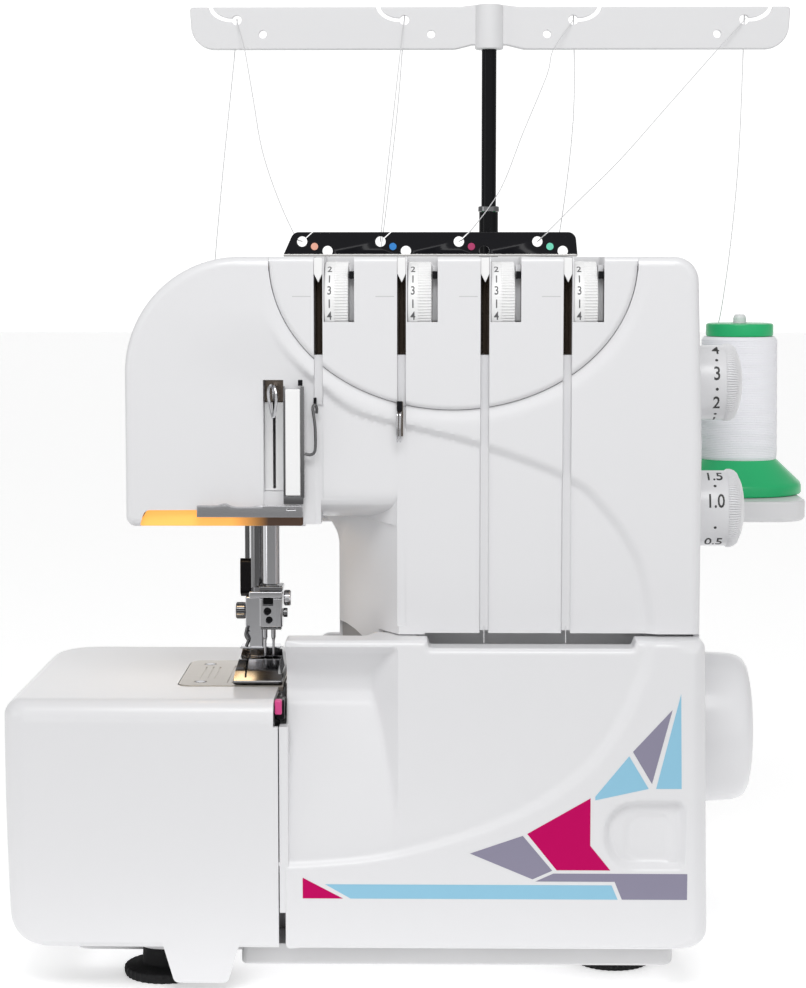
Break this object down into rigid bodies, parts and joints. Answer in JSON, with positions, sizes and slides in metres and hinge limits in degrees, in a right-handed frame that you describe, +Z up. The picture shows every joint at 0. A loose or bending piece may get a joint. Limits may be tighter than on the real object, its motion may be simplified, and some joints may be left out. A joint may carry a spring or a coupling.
{
  "type": "serger overlock machine",
  "caption": "Household overlock sewing machine with a free arm, hinged looper cover, tension dials, knife, handwheel, thread cones on a rear stand and a telescopic thread mast.",
  "frame": {"origin": "middle of the footprint, on the surface that the feet stand on", "axes": "+Z up, +X to the operator's right (handwheel side), +Y to the back (thread stand side)"},
  "size_m": [0.3522, 0.226, 0.4172],
  "materials": {
    "white_plastic": "satin moulded plastic, faintly textured",
    "grey_plastic": "satin light grey plastic",
    "pink_plastic": "gloss pink plastic knob on a black lever",
    "black_plastic": "gloss black plastic",
    "black_metal": "gloss black lacquered tube",
    "chrome": "polished chrome plate",
    "steel": "ground and polished steel",
    "cast_metal": "rough die-cast aluminium",
    "rubber": "matt black rubber",
    "spool_thread": "wound white thread on a green plastic cone",
    "lamp": "small warm lamp"
  },
  "bodies": {
    "machine": {"base_tray": "white_plastic", "foot_front_left": "rubber", "foot_front_right": "rubber", "foot_rear_left": "rubber", "foot_rear_right": "rubber", "frame_casting": "cast_metal", "front_housing": "white_plastic", "rear_housing": "white_plastic", "tension_panel": "white_plastic", "drive_motor": "cast_metal", "drive_belt": "rubber", "needle_plate": "steel", "lower_knife": "steel", "take_up_cover": "white_plastic", "head_thread_guide": "chrome", "thread_hook_left": "chrome", "thread_hook_right": "chrome", "lamp_bulb": "lamp", "inlet_socket": "black_plastic", "spool_stand": "white_plastic", "mast_outer_tube": "black_metal", "top_thread_plate": "black_plastic", "needle_thread_left": "spool_thread", "needle_thread_right": "spool_thread", "upper_looper_thread": "spool_thread", "lower_looper_thread": "spool_thread"},
    "mast": {"mast_inner_tube": "black_metal", "thread_guide_bar": "grey_plastic"},
    "tension_1": {"tension_dial_1": "white_plastic"},
    "tension_2": {"tension_dial_2": "white_plastic"},
    "tension_3": {"tension_dial_3": "white_plastic"},
    "tension_4": {"tension_dial_4": "white_plastic"},
    "stitch_length": {"stitch_length_dial": "white_plastic"},
    "differential": {"differential_dial": "white_plastic"},
    "drive": {"handwheel": "white_plastic", "main_shaft": "steel"},
    "motor": {"motor_pulley": "steel"},
    "needles": {"needle_bar": "chrome", "needle_clamp": "chrome", "needle_clamp_screw": "steel", "needle_left": "chrome", "needle_right": "chrome"},
    "presser": {"presser_bar": "chrome", "presser_foot_shank": "chrome", "presser_foot": "chrome"},
    "lifter": {"presser_lifter": "black_plastic"},
    "take_up": {"take_up_lever": "chrome"},
    "knife": {"upper_knife": "steel"},
    "upper_loop": {"upper_looper": "chrome"},
    "lower_loop": {"lower_looper": "chrome"},
    "feed": {"feed_dog": "steel"},
    "stitch_finger": {"stitch_finger_lever": "pink_plastic"},
    "cover_rod": {"cover_hinge_rod": "steel"},
    "front_cover": {"looper_cover": "white_plastic"},
    "left_cover": {"side_cover": "white_plastic"},
    "spool_1": {"thread_spool_1": "spool_thread"},
    "spool_2": {"thread_spool_2": "spool_thread"},
    "spool_3": {"thread_spool_3": "spool_thread"},
    "spool_4": {"thread_spool_4": "spool_thread"},
    "switch": {"power_switch": "black_plastic"}
  },
  "joints": [
    {"name": "mast_slide", "type": "slide", "parent": "machine", "child": "mast", "axis": [0, 0, 1], "range_m": [-0.072, 0], "deforming": ["needle_thread_left", "needle_thread_right", "upper_looper_thread", "lower_looper_thread"]},
    {"name": "tension_turn_1", "type": "hinge", "parent": "machine", "child": "tension_1", "pos_m": [-0.0395, -0.0851, 0.283], "axis": [1, 0, 0], "range_deg": [-100, 200]},
    {"name": "tension_turn_2", "type": "hinge", "parent": "machine", "child": "tension_2", "pos_m": [-0.0058, -0.0851, 0.283], "axis": [1, 0, 0], "range_deg": [-100, 200]},
    {"name": "tension_turn_3", "type": "hinge", "parent": "machine", "child": "tension_3", "pos_m": [0.0279, -0.0851, 0.283], "axis": [1, 0, 0], "range_deg": [-100, 200]},
    {"name": "tension_turn_4", "type": "hinge", "parent": "machine", "child": "tension_4", "pos_m": [0.0613, -0.0851, 0.283], "axis": [1, 0, 0], "range_deg": [-100, 200]},
    {"name": "stitch_length_turn", "type": "hinge", "parent": "machine", "child": "stitch_length", "pos_m": [0.11595, -0.039, 0.2472], "axis": [1, 0, 0], "range_deg": [-45, 135]},
    {"name": "differential_turn", "type": "hinge", "parent": "machine", "child": "differential", "pos_m": [0.11595, -0.039, 0.193], "axis": [1, 0, 0], "range_deg": [-90, 90]},
    {"name": "handwheel_turn", "type": "hinge", "parent": "machine", "child": "drive", "pos_m": [0.12095, -0.039, 0.0976], "axis": [1, 0, 0], "continuous": true},
    {"name": "motor_turn", "type": "hinge", "parent": "machine", "child": "motor", "pos_m": [0.09595, -0.003, 0.05], "axis": [1, 0, 0], "continuous": true},
    {"name": "needle_stroke", "type": "slide", "parent": "machine", "child": "needles", "axis": [0, 0, 1], "range_m": [-0.009, 0.012]},
    {"name": "presser_lift", "type": "slide", "parent": "machine", "child": "presser", "axis": [0, 0, 1], "range_m": [0, 0.006], "stiffness_N_per_m": 400, "springref_m": -0.01},
    {"name": "lifter_turn", "type": "hinge", "parent": "machine", "child": "lifter", "pos_m": [-0.08305, -0.037, 0.192], "axis": [1, 0, 0], "range_deg": [0, 45]},
    {"name": "take_up_swing", "type": "hinge", "parent": "machine", "child": "take_up", "pos_m": [-0.06705, -0.069, 0.231], "axis": [1, 0, 0], "range_deg": [0, 55]},
    {"name": "knife_stroke", "type": "slide", "parent": "machine", "child": "knife", "axis": [0, 0, 1], "range_m": [-0.006, 0.004]},
    {"name": "upper_looper_swing", "type": "hinge", "parent": "machine", "child": "upper_loop", "pos_m": [-0.06855, -0.024, 0.06], "axis": [1, 0, 0], "range_deg": [-8, 8]},
    {"name": "lower_looper_swing", "type": "hinge", "parent": "machine", "child": "lower_loop", "pos_m": [-0.07855, -0.054, 0.045], "axis": [1, 0, 0], "range_deg": [-8, 8]},
    {"name": "feed_stroke", "type": "slide", "parent": "machine", "child": "feed", "axis": [0, 1, 0], "range_m": [-0.002, 0.002]},
    {"name": "finger_slide", "type": "slide", "parent": "machine", "child": "stitch_finger", "axis": [0, 1, 0], "range_m": [0, 0.008]},
    {"name": "cover_slide", "type": "slide", "parent": "machine", "child": "cover_rod", "axis": [1, 0, 0], "range_m": [0, 0.01], "stiffness_N_per_m": 60, "springref_m": -0.006},
    {"name": "cover_turn", "type": "hinge", "parent": "cover_rod", "child": "front_cover", "pos_m": [-0.01405, -0.108, 0.0215], "axis": [1, 0, 0], "range_deg": [0, 85]},
    {"name": "side_cover_slide", "type": "slide", "parent": "machine", "child": "left_cover", "axis": [-1, 0, 0], "range_m": [0, 0.06]},
    {"name": "spool_turn_1", "type": "hinge", "parent": "machine", "child": "spool_1", "pos_m": [-0.09455, 0.079, 0.23], "axis": [0, 0, 1], "continuous": true},
    {"name": "spool_turn_2", "type": "hinge", "parent": "machine", "child": "spool_2", "pos_m": [-0.01525, 0.079, 0.23], "axis": [0, 0, 1], "continuous": true},
    {"name": "spool_turn_3", "type": "hinge", "parent": "machine", "child": "spool_3", "pos_m": [0.06435, 0.079, 0.23], "axis": [0, 0, 1], "continuous": true},
    {"name": "spool_turn_4", "type": "hinge", "parent": "machine", "child": "spool_4", "pos_m": [0.14405, 0.079, 0.23], "axis": [0, 0, 1], "continuous": true},
    {"name": "switch_turn", "type": "hinge", "parent": "machine", "child": "switch", "pos_m": [0.10095, 0.01, 0.075], "axis": [0, 1, 0], "range_deg": [-13, 0]}
  ],
  "couplings": [
    {"joint": "motor_turn", "follows": "handwheel_turn", "ratio": 2.413}
  ]
}
